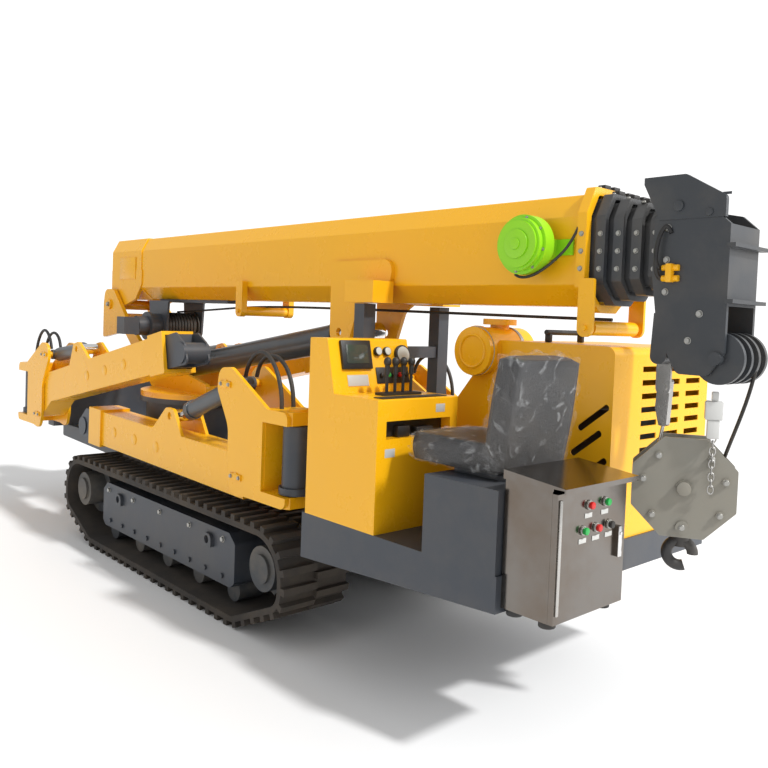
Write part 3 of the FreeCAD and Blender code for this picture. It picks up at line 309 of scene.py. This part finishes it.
PIVOTS = {
    # pivot x, side, the way the leg points along X, the box's pitch in degrees, its rise over the pin
    "front_left": (2.775, 1, -1, 11.3, 0.186),
    "front_right": (2.775, -1, -1, 11.3, 0.186),
    "rear_left": (-0.9, 1, 1, 1.0, 0.0),
    "rear_right": (-0.9, -1, 1, 1.0, 0.0),
}
pivot_side = 0.585
arm_pin, top_pin = (0.38, 0.75), (0.505, 1.222)
cheek_face, arm_face = 0.113, 0.09
keeper_half_length, keeper_half_height, keeper_thickness = 0.052, 0.016, 0.008
keeper_gap, keeper_bolt_shift = 0.0005, 0.038
weld_radius, weld_proud = 0.034, 0.003
for leg, (pivot_x, side, heading, pitch_deg, rise) in PIVOTS.items():
    def spot(along, height, out=0.0):
        """A point on this leg: along it from its pivot, its height, and out from its middle plane."""
        return Vector((pivot_x + heading * along, side * pivot_side + out, height))

    keepers, heads = [], []
    for pin_x, pin_z in (arm_pin, top_pin):
        for out in (1, -1):
            face = out * (cheek_face + keeper_gap)
            low = spot(pin_x - keeper_half_length, pin_z - keeper_half_height, face)
            high = spot(pin_x + keeper_half_length, pin_z + keeper_half_height, face + out * keeper_thickness)
            corner_low = Vector(min(a, b) for a, b in zip(low, high))
            corner_high = Vector(max(a, b) for a, b in zip(low, high))
            keepers.append(slab(corner_low, corner_high, 0.002))
            for shift in (-keeper_bolt_shift, keeper_bolt_shift):
                heads.append((spot(pin_x + shift, pin_z, face + out * keeper_thickness), (0, out, 0)))
    settled(together(keepers), "pin_keepers_" + leg, "bracket_" + leg, yellow)
    bolts("pin_keeper_bolts_" + leg, "bracket_" + leg, heads, 0.009, zinc)
    turn = math.radians(pitch_deg)
    rounds = []
    for along in (0.95, 1.25, 1.55):
        for out in (1, -1):
            where = spot(
                arm_pin[0] + along * math.cos(turn) - rise * math.sin(turn),
                arm_pin[1] + along * math.sin(turn) + rise * math.cos(turn), out * arm_face)
            rounds.append(rod(where, where + Vector((0, out * weld_proud, 0)), weld_radius, 0.0012))
    settled(together(rounds), "weld_rounds_" + leg, "arm_" + leg, yellow)
    for index, out in enumerate((-0.035, 0.035)):
        hose("knuckle_hose_%s_%d" % (leg, index + 1), [
            spot(0.1, 1.13, out), spot(0.1, 1.2, out), spot(0.14, 1.33, out), spot(0.28, 1.4 + 0.03 * index, out),
            spot(0.4, 1.36, out), spot(0.43, 1.3, out), spot(0.44, 1.262, out)], 0.011, "bracket_" + leg)


# Mast and luffing cylinder: the boom's foot and its lifting cylinder
# The cheeks are welded plate. Hoses run up between them to the boom's foot, and bolts hold the pins' ends.
first_mast_hose, mast_hose_spacing = -0.06, 0.05
for index in range(3):
    y = first_mast_hose + index * mast_hose_spacing
    hose("mast_hose_%d" % (index + 1), [
        (1.35, y, 1.05), (1.36, y, 1.16), (1.48, y * 1.4, 1.3), (1.75, y * 1.6, 1.42), (1.98, y * 1.4, 1.46),
        (2.12, y, 1.47), (2.2, y, 1.5)], 0.013, "superstructure")
mast_pins = []
for pin_x, pin_z, pin_end in ((2.236, 1.63, 0.2195), (1.55, 1.15, 0.2155)):
    for sign in (1, -1):
        mast_pins.append(((pin_x, sign * pin_end, pin_z), (0, sign, 0)))
bolts("mast_pin_bolts", "superstructure", mast_pins, 0.016, zinc)


# Boom: an outer tube with four sections inside it, each with a collar
# The tubes are folded plate; each collar holds slide pads with bolts, and guides for the rope stand on top.
cover(["boom_1", "boom_saddles"], yellow)
section_paint = coat("section_grey_paint", (0.04, 0.045, 0.052), roughness=0.36, dust_and_reflection=0.2)
cover(["boom_2", "boom_3", "boom_4", "boom_5", "boom_head"], section_paint)
boom_end, section_reach, section_step = -2.24, 0.068, 0.021
boom_half, boom_top = 0.16, 2.14
collar_bolt_inset, collar_bolt_heights = 0.022, (1.83, 1.9, 1.97)
SECTION_BODIES = ("boom_outer", "boom_section_2", "boom_section_3", "boom_section_4", "boom_section_5")
for index, body in enumerate(SECTION_BODIES):
    lip = 0.024 if index == 0 else 0.014
    edge_y = boom_half - index * section_step + lip
    crown = boom_top - index * section_step + lip
    near = boom_end - index * section_reach
    places = []
    for sign in (1, -1):
        for height in collar_bolt_heights:
            places.append(((near + collar_bolt_inset, sign * edge_y, height), (0, sign, 0)))
    for y in (-0.07, 0.0, 0.07):
        places.append(((near + collar_bolt_inset, y, crown), (0, 0, 1)))
    bolts("collar_bolts_%d" % (index + 1), body, places, 0.009, zinc)
    pads = [
        slab((near + 0.004, y - 0.022, crown - 0.001), (near + 0.04, y + 0.022, crown + 0.018), 0.003)
        for y in (-0.035, 0.035)
    ]
    settled(together(pads), "collar_pads_%d" % (index + 1), body, black)

# A cable is clipped along the outer tube's top, and runs straight through each clip.
clip_places = [1.9, 1.2, 0.45, -0.35, -1.1, -1.75]
clip_straight = 0.03
cable_y, cable_z = -0.1, 2.149
clips = [slab((x - 0.012, -0.118, 2.1405), (x + 0.012, -0.082, 2.158), 0.002) for x in clip_places]
settled(together(clips), "cable_clips", "boom_outer", black)
cable_line = [(2.2, cable_y, cable_z)]
for x in clip_places:
    cable_line += [(x + clip_straight, cable_y, cable_z), (x - clip_straight, cable_y, cable_z)]
cable_line += [(-1.95, cable_y, cable_z), (-2.1, -0.098, 2.15)]
hose("boom_cable", cable_line, 0.006, "boom_outer")
foot_plate = slab((1.86, 0.1668, 1.83), (2.14, 0.1728, 2.0), 0.004)
settled(foot_plate, "boom_foot_plate", "boom_outer", yellow)


# Rope rollers and rope: rollers on links under the boom guide the hoist rope from the winch
# The rope is wire strand, dark with grease.
cover(["rope_rollers"], yellow)
rope_steel = coat("greased_rope", (0.02, 0.019, 0.018), roughness=0.4, dust_and_reflection=0.2, metallic=0.4)
hose("boom_rope", [
    (1.49, 0.0, 1.588), (1.2, 0.0, 1.6), (0.7, 0.0, 1.63), (0.31, 0.0, 1.649), (-0.6, 0.0, 1.646),
    (-1.4, 0.0, 1.638), (-2.15, 0.0, 1.63), (-2.262, 0.0, 1.6295)], 0.007, "boom_outer", rope_steel)
cover(["winch"], dark)
cover(["winch_drum"], coat("drum_rope_steel", (0.05, 0.045, 0.04), roughness=0.5, dust_and_reflection=0.4, metallic=0.5))


# Cable reel: a round green housing on the boom's left side
# The housing is two pressed shells bolted at the rim, with a small box below.
lime = coat("green_paint", (0.3, 0.72, 0.01), roughness=0.3, dust_and_reflection=0.08)
cover(["cable_reel"], lime)
reel = Vector((-1.99, 0.312, 1.927))
rim_bolt_count, rim_radius, rim_depth = 8, 0.112, 0.0345
rim = []
for index in range(rim_bolt_count):
    angle = index * 2 * math.pi / rim_bolt_count + 0.2
    rim.append((
        reel + Vector((rim_radius * math.cos(angle), -rim_depth, rim_radius * math.sin(angle))), (0, 1, 0)))
bolts("reel_bolts", "boom_outer", rim, 0.006, zinc)
rings = [
    rod(reel, reel + Vector((0, 0.008, 0)), 0.06, 0.002),
    rod(reel, reel + Vector((0, 0.014, 0)), 0.024, 0.003),
]
settled(together(rings), "reel_hub", "boom_outer", lime)
hose("reel_cable", [
    (-1.95, 0.26, 1.805), (-1.97, 0.26, 1.79), (-2.03, 0.25, 1.79), (-2.12, 0.22, 1.86), (-2.2, 0.19, 1.95),
    (-2.215, 0.15, 2.1)], 0.006, "boom_outer")


# Boom head, rope link, hook block and hook
# The head is welded plate round its sheaves, the link is stainless, and the hook is forged.
# The block hangs turned under the link, and a limit switch with its chain hangs beside it.
stainless = coat("link_stainless", (0.5, 0.49, 0.47), roughness=0.25, dust_and_reflection=0.1, metallic=1.0)
cover(["rope_anchor"], stainless)
block_paint = coat("block_paint", (0.25, 0.24, 0.205), roughness=0.5, dust_and_reflection=0.3)
cover(["hook_block"], block_paint)
cover(["hook"], coat("forged_hook", (0.03, 0.03, 0.032), roughness=0.5, dust_and_reflection=0.3))
block = Vector((-2.61, 0, 1.0))
block_angle = 30
block_turn = Matrix.Rotation(math.radians(block_angle), 4, "Z")
block_face = 0.0745


def at_block(x, y, z):
    """A point on the hook block, from its middle and along its own turned axes."""
    return block + block_turn @ Vector((x, y, z))


switch = together([
    slab((-0.112, 0.074, 0.2), (-0.068, 0.108, 0.27), 0.004),
    slab((-0.122, 0.07, 0.27), (-0.058, 0.112, 0.34), 0.006),
    slab((-0.105, 0.08, 0.34), (-0.08, 0.1, 0.375), 0.004),
])
switch.data.transform(Matrix.Translation(block) @ block_turn)
settled(switch, "limit_switch", "hook_block", coat(
    "pale_cast_case", (0.62, 0.62, 0.6), roughness=0.35, dust_and_reflection=0.1))
chain = []
chain_top, link_pitch = 0.2, 0.024
for index in range(9):
    bpy.ops.mesh.primitive_torus_add(
        major_radius=0.0105, minor_radius=0.0026, major_segments=16, minor_segments=6,
        location=at_block(-0.092, 0.092, chain_top - index * link_pitch),
        rotation=(math.pi / 2, 0, math.radians(block_angle + 90 * (index % 2))))
    link = bpy.context.object
    link.scale = (1, 1.5, 1)
    chain.append(link)
settled(together(chain), "switch_chain", "hook_block", stainless)
block_bolts = []
for x, z in (
        (-0.095, 0.118), (-0.148, 0.035), (0.148, 0.025), (0.095, 0.118), (-0.132, -0.092), (0.11, -0.11),
        (0, -0.15)):
    for way in (1, -1):
        facing = block_turn.to_3x3() @ Vector((0, way, 0))
        block_bolts.append((at_block(x, way * block_face, z), facing))
bolts("block_bolts", "hook_block", block_bolts, 0.009, zinc)
bpy.ops.mesh.primitive_cylinder_add(vertices=40, radius=0.026, depth=0.012, location=(0, 0, 0))
cap = rounded(bpy.context.object, 0.002)
cap_place = Matrix.Translation((0, 0.0815, 0)) @ Matrix.Rotation(math.pi / 2, 4, "X")
cap.data.transform(Matrix.Translation(block) @ block_turn @ cap_place)
settled(cap, "block_pin_cap", "hook_block", block_paint)
hose("hoist_rope", [
    (-2.856, -0.03, 1.51), (-2.852, -0.031, 1.46), (-2.83, -0.034, 1.36), (-2.78, -0.042, 1.22),
    (-2.735, -0.052, 1.1), tuple(at_block(-0.119, 0, 0.02)), tuple(at_block(-0.117, 0, -0.02)),
], 0.007, "hook_block", rope_steel)
head_face = 0.1205
tab = together([
    slab((-2.79, 0.1035, 2.09), (-2.52, 0.1065, 2.1), 0.001),
    rod((-2.6, head_face, 2.06), (-2.6, 0.13, 2.06), 0.02),
    rod((-2.72, head_face, 2.03), (-2.72, 0.128, 2.03), 0.014),
])
settled(tab, "head_bracket_rib", "boom_section_5", section_paint)
head_bolts = []
for x, z in ((-2.56, 1.98), (-2.56, 1.86), (-2.56, 1.74), (-2.7, 1.66), (-2.66, 1.56), (-2.76, 1.5)):
    for sign in (1, -1):
        head_bolts.append(((x, sign * head_face, z), (0, sign, 0)))
bolts("head_bolts", "boom_section_5", head_bolts, 0.011, zinc)
ferrule_y = 0.1265
clamps = [rod((-2.548, ferrule_y, z), (-2.615, ferrule_y, z), 0.012) for z in (1.79, 1.83)]
clamps.append(slab((-2.595, 0.121, 1.775), (-2.57, 0.15, 1.845), 0.004))
settled(together(clamps), "hose_clamps", "boom_section_5", yellow)
for index in range(2):
    hose("head_hose_%d" % (index + 1), [
        (-2.545, 0.127 + index * 0.012, 1.79 + index * 0.04), (-2.53, 0.14, 1.79 + index * 0.04),
        (-2.525, 0.15, 1.88), (-2.54, 0.14, 1.97), (-2.56, 0.126, 2.0), (-2.575, 0.124, 1.96)],
        0.008, "boom_section_5")


# Console: sheet-metal desk with a sloped panel
# Screen, gauges and switches are set into the slope, and the levers stand on the ledge.
cover(["console"], yellow)
cover(["console_levers", "valve_levers"], black)
slope_top, slope_low = Vector((-1.334, 0, 1.504)), Vector((-1.392, 0, 1.267))
slope_down = (slope_low - slope_top).normalized()
slope_out = Vector((slope_down.z, 0, -slope_down.x))
slope_turn = Matrix((
    (0, -slope_down.x, slope_out.x), (-1, 0, 0), (0, -slope_down.z, slope_out.z))).to_4x4()


def on_slope(y, down, proud=0.0):
    """A point on the console's slope: y across it, down from its top edge, proud of it."""
    return Vector((0, y, 0)) + slope_top + slope_down * down + slope_out * proud


def slope_plate(name, y, down, width, height, thick, finish, edge=0.003):
    """A flat piece that lies on the console's slope."""
    bpy.ops.mesh.primitive_cube_add(size=1)
    piece = bpy.context.object
    piece.scale = (width, height, thick)
    rounded(piece, edge)
    piece.data.transform(Matrix.Translation(on_slope(y, down, thick / 2)) @ slope_turn)
    return settled(piece, name, "base", finish)


screen_glass = coat("screen_glass", (0.05, 0.06, 0.05), roughness=0.08, dust_and_reflection=0.04, peel=0.0)
slope_plate("screen_frame", 0.62, 0.075, 0.17, 0.13, 0.016, black)
slope_plate("screen", 0.62, 0.073, 0.125, 0.085, 0.018, screen_glass, 0.001)
slope_plate("switch_plate", 0.41, 0.17, 0.2, 0.075, 0.006, black)
slope_plate("blank_plate_slope", 0.62, 0.19, 0.12, 0.05, 0.003, bare, 0.001)
dial_face = coat("dial_face", (0.6, 0.62, 0.58), roughness=0.3, dust_and_reflection=0.05)
for name, y, down, radius in (
        ("gauge_large", 0.34, 0.075, 0.045), ("gauge_one", 0.49, 0.06, 0.021), ("gauge_two", 0.435, 0.06, 0.021)):
    rim = rod(on_slope(y, down), on_slope(y, down, 0.018), radius, 0.003)
    settled(rim, name + "_rim", "base", black)
    dial = rod(on_slope(y, down, 0.0185), on_slope(y, down, 0.0195), radius * 0.82, 0.0004)
    settled(dial, name, "base", dial_face)
first_switch, switch_spacing, switch_row = 0.335, 0.037, 0.17
for index, finish in enumerate((black, red, black, green_lamp, black)):
    y = first_switch + index * switch_spacing
    push_switch = rod(on_slope(y, switch_row, 0.006), on_slope(y, switch_row, 0.022), 0.011, 0.002)
    settled(push_switch, "switch_%d" % (index + 1), "base", finish)


def smooth(piece):
    """Shade a piece smooth all over."""
    clean()
    piece.select_set(True)
    bpy.context.view_layer.objects.active = piece
    bpy.ops.object.shade_smooth()
    return piece


lever_x, knob_height = -1.53, 1.412
first_lever, lever_spacing = 0.44, 0.048
for index in range(4):
    bpy.ops.mesh.primitive_uv_sphere_add(
        segments=20, ring_count=12, radius=0.017,
        location=(lever_x, first_lever + index * lever_spacing, knob_height))
    knob = bpy.context.object
    knob.scale = (1, 1, 1.25)
    settled(smooth(knob), "lever_knob_%d" % (index + 1), "base", black)
settled(slab((-1.66, 0.34, 1.2675), (-1.6, 0.72, 1.271), 0.001), "console_mat", "base", black)
tray = together([
    slab((-1.627, 0.337, 1.104), (-1.6205, 0.712, 1.175), 0.001),
    slab((-1.66, 0.42, 1.1025), (-1.63, 0.52, 1.14), 0.004), slab((-1.66, 0.56, 1.1025), (-1.63, 0.63, 1.15), 0.004),
])
settled(tray, "console_tray", "base", black)
plates = [
    slab((-1.6806, y - 0.028, z - 0.018), (-1.6801, y + 0.028, z + 0.018), 0.0002)
    for y, z in ((0.69, 1.045), (0.4, 1.22))
]
settled(together(plates), "console_plates", "base", bare)


# Seat: foam cushion and back in black vinyl, still in its clear film
# The foam is crowned and drawn in at its edges; the film lies over it in creases.
def soft_pad(low, high, crown, squareness):
    """Foam pad: a box blown up towards a rounded cushion between two corners."""
    puff = 1.18
    low, high = Vector(low), Vector(high)
    bpy.ops.mesh.primitive_cube_add(size=2, location=(0, 0, 0))
    piece = bpy.context.object
    bpy.ops.object.mode_set(mode="EDIT")
    bpy.ops.mesh.select_all(action="SELECT")
    bpy.ops.mesh.subdivide(number_cuts=15)
    bpy.ops.object.mode_set(mode="OBJECT")
    half = (high - low) / 2
    for vertex in piece.data.vertices:
        ball = vertex.co.normalized()
        reach = max(abs(ball.x), abs(ball.y), abs(ball.z))
        cube = ball / reach
        soft = cube * squareness + ball * (1 - squareness) * puff
        edge = max(abs(soft.x), abs(soft.y))
        swell = 1 + crown * max(0, 1 - edge * edge)
        vertex.co = Vector((soft.x * half.x, soft.y * half.y, soft.z * half.z * swell))
    for vertex in piece.data.vertices:
        for axis in range(3):
            vertex.co[axis] = max(-half[axis], min(half[axis], vertex.co[axis]))
    piece.data.transform(Matrix.Translation((low + high) / 2))
    return piece


vinyl = coat("seat_vinyl", (0.02, 0.02, 0.022), roughness=0.42, dust_and_reflection=0.15, peel=0.6)
cushion = soft_pad((-2.235, 0.28, 1.038), (-1.775, 0.67, 1.15), 0.15, 0.75)
settled(smooth(cushion), "seat_cushion", "base", vinyl)
backrest = soft_pad((-0.055, -0.195, -0.215), (0.055, 0.195, 0.215), 0.1, 0.75)
back_middle = Vector((-2.235, 0.475, 1.262))
backrest.data.transform(Matrix.Translation(back_middle) @ Matrix.Rotation(math.radians(-8), 4, "Y"))
settled(smooth(backrest), "seat_back", "base", vinyl)
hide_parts("seat")
film = bpy.data.materials.new("clear_film")
film.use_nodes = True
film_tree = film.node_tree
film_shader = film_tree.nodes["Principled BSDF"]
film_shader.inputs["Base Color"].default_value = (0.8, 0.81, 0.82, 1)
film_shader.inputs["Roughness"].default_value = 0.1
film_place = film_tree.nodes.new("ShaderNodeTexCoord")
film_noise = film_tree.nodes.new("ShaderNodeTexNoise")
film_noise.inputs["Scale"].default_value = 11
film_noise.inputs["Detail"].default_value = 5
film_noise.inputs["Distortion"].default_value = 1.6
# The whitish streaks, where the noise raises the film's alpha, are painted highlights on its creases; the faint
# milkiness between them is the film's own.
painted_highlight_streaks = film_tree.nodes.new("ShaderNodeMapRange")
painted_highlight_streaks.inputs["From Min"].default_value = 0.56
painted_highlight_streaks.inputs["From Max"].default_value = 0.68
painted_highlight_streaks.inputs["To Min"].default_value = 0.05
painted_highlight_streaks.inputs["To Max"].default_value = 0.26
film_tree.links.new(film_noise.outputs["Fac"], painted_highlight_streaks.inputs["Value"])
film_tree.links.new(painted_highlight_streaks.outputs["Result"], film_shader.inputs["Alpha"])
film_bump = film_tree.nodes.new("ShaderNodeBump")
film_bump.inputs["Strength"].default_value = 1
film_bump.inputs["Distance"].default_value = 0.02
film_tree.links.new(film_place.outputs["Object"], film_noise.inputs["Vector"])
film_tree.links.new(film_noise.outputs["Fac"], film_bump.inputs["Height"])
film_tree.links.new(film_bump.outputs["Normal"], film_shader.inputs["Normal"])
cushion_middle = Vector((-2.005, 0.475, 1.094))
film_gap, crease_height = 0.005, 0.02
for name, pad, middle in (("film_cushion", cushion, cushion_middle), ("film_back", backrest, back_middle)):
    wrap = pad.copy()
    wrap.data = pad.data.copy()
    # The film starts as a copy of its pad, but free of the pad's body and marks.
    wrap.parent = None
    for key in list(wrap.keys()):
        del wrap[key]
    bpy.context.collection.objects.link(wrap)
    for vertex in wrap.data.vertices:
        away = vertex.co - middle
        crease = 0.5 + 0.5 * math.sin(vertex.co.x * 71 + vertex.co.y * 53 + 5 * math.sin(vertex.co.z * 61))
        vertex.co += away.normalized() * (film_gap + crease_height * crease)
    settled(wrap, name, "base", film)


# Engine cover, engine and air cleaner
# The cover is folded sheet with slots for air; the cleaner is a drum held by two bands.
cover(["engine_cover", "air_cleaner"], yellow)
cover(["engine"], coat("cast_block", (0.03, 0.03, 0.03), roughness=0.7, dust_and_reflection=0.5))
handle = together([
    slab((-1.93, -0.3, 1.5205), (-1.9, -0.28, 1.56), 0.004),
    slab((-1.93, -0.05, 1.5205), (-1.9, -0.03, 1.56), 0.004),
    rod((-1.915, -0.31, 1.565), (-1.915, -0.02, 1.565), 0.012),
])
settled(handle, "hood_handle", "base", black)
cleaner_mid = Vector((-1.615, 0, 1.465))
band_width, band_radius = 0.022, 0.1155
bands = []
for y in (0.09, -0.12):
    start = (cleaner_mid.x, y, cleaner_mid.z)
    end = (cleaner_mid.x, y + band_width, cleaner_mid.z)
    bands.append(rod(start, end, band_radius, 0.002, 48))
settled(together(bands), "cleaner_bands", "base", zinc)
bpy.ops.mesh.primitive_torus_add(
    major_radius=0.075, minor_radius=0.007, major_segments=40, minor_segments=8,
    location=(cleaner_mid.x, 0.136, cleaner_mid.z), rotation=(math.pi / 2, 0, 0))
settled(bpy.context.object, "cleaner_rib", "base", yellow)


# Cabinet: stainless box with a door, buttons and a small roof
# Brushed sheet, folded and spot-welded; the buttons sit in rings on the door, each over a blank plate.
# Its brown patches, from the dust amount and colour below, are painted reflection: the brownish light that the
# brushed sheet mirrors.
sheet_steel = coat(
    "brushed_stainless", (0.2, 0.185, 0.17), roughness=0.17, dust_and_reflection=0.9, peel=0.0, metallic=1.0,
    dust_and_reflection_colour=(0.13, 0.085, 0.05))
grain_tree = sheet_steel.node_tree
grain = grain_tree.nodes.new("ShaderNodeTexNoise")
grain.inputs["Scale"].default_value = 1
grain.inputs["Detail"].default_value = 2
stretch = grain_tree.nodes.new("ShaderNodeMapping")
stretch.inputs["Scale"].default_value = (420, 420, 4)
grain_place = grain_tree.nodes.new("ShaderNodeTexCoord")
grain_bump = grain_tree.nodes.new("ShaderNodeBump")
grain_bump.inputs["Strength"].default_value = 0.12
grain_bump.inputs["Distance"].default_value = 0.001
grain_tree.links.new(grain_place.outputs["Object"], stretch.inputs["Vector"])
grain_tree.links.new(stretch.outputs["Vector"], grain.inputs["Vector"])
grain_tree.links.new(grain.outputs["Fac"], grain_bump.inputs["Height"])
grain_tree.links.new(grain_bump.outputs["Normal"], grain_tree.nodes["Principled BSDF"].inputs["Normal"])
cover(["cabinet", "cabinet_door"], sheet_steel)
door_x = -2.5546
foot_top, foot_bottom = 0.597, 0.572
feet = [
    rod((x, y, foot_top), (x, y, foot_bottom), 0.03, 0.004) for x in (-2.36, -2.5) for y in (0.69, 0.36)
]
settled(together(feet), "cabinet_feet", "base", rubber)
BUTTONS = [
    # name, y, z, finish
    ("button_red_top", 0.555, 0.985, red), ("button_green_top", 0.455, 0.985, green_lamp),
    ("button_green_low", 0.585, 0.9, green_lamp), ("button_red_low", 0.505, 0.9, red),
    ("selector_black", 0.425, 0.9, black),
]
ring_radius, ring_proud = 0.017, 0.008
button_radius, button_foot, button_proud = 0.013, 0.0085, 0.022
for name, y, z, finish in BUTTONS:
    ring = rod((door_x, y, z), (door_x - ring_proud, y, z), ring_radius, 0.002)
    settled(ring, name + "_ring", "door", zinc)
    button = rod((door_x - button_foot, y, z), (door_x - button_proud, y, z), button_radius, 0.003)
    settled(button, name, "door", finish)
tags = [
    slab((door_x - 0.002, y - 0.022, z - 0.045), (door_x, y + 0.022, z - 0.028), 0.0008)
    for _, y, z, _ in BUTTONS
]
settled(together(tags), "button_plates", "door", bare)
grip = together([
    slab((door_x - 0.0165, 0.3545, 0.774), (door_x - 0.0118, 0.3775, 0.886), 0.002),
    rod((door_x - 0.0165, 0.366, 0.86), (door_x - 0.02, 0.366, 0.86), 0.007, 0.001),
])
settled(grip, "door_handle_face", "door", coat(
    "bright_handle", (0.7, 0.7, 0.7), roughness=0.15, dust_and_reflection=0.05, metallic=1.0))
trim = slab((door_x - 0.006, 0.712, 0.63), (door_x, 0.726, 1.02), 0.002)
settled(trim, "door_trim", "door", stainless)

# The bolt pattern is no part of the machine.
bpy.data.objects.remove(bolt_head)
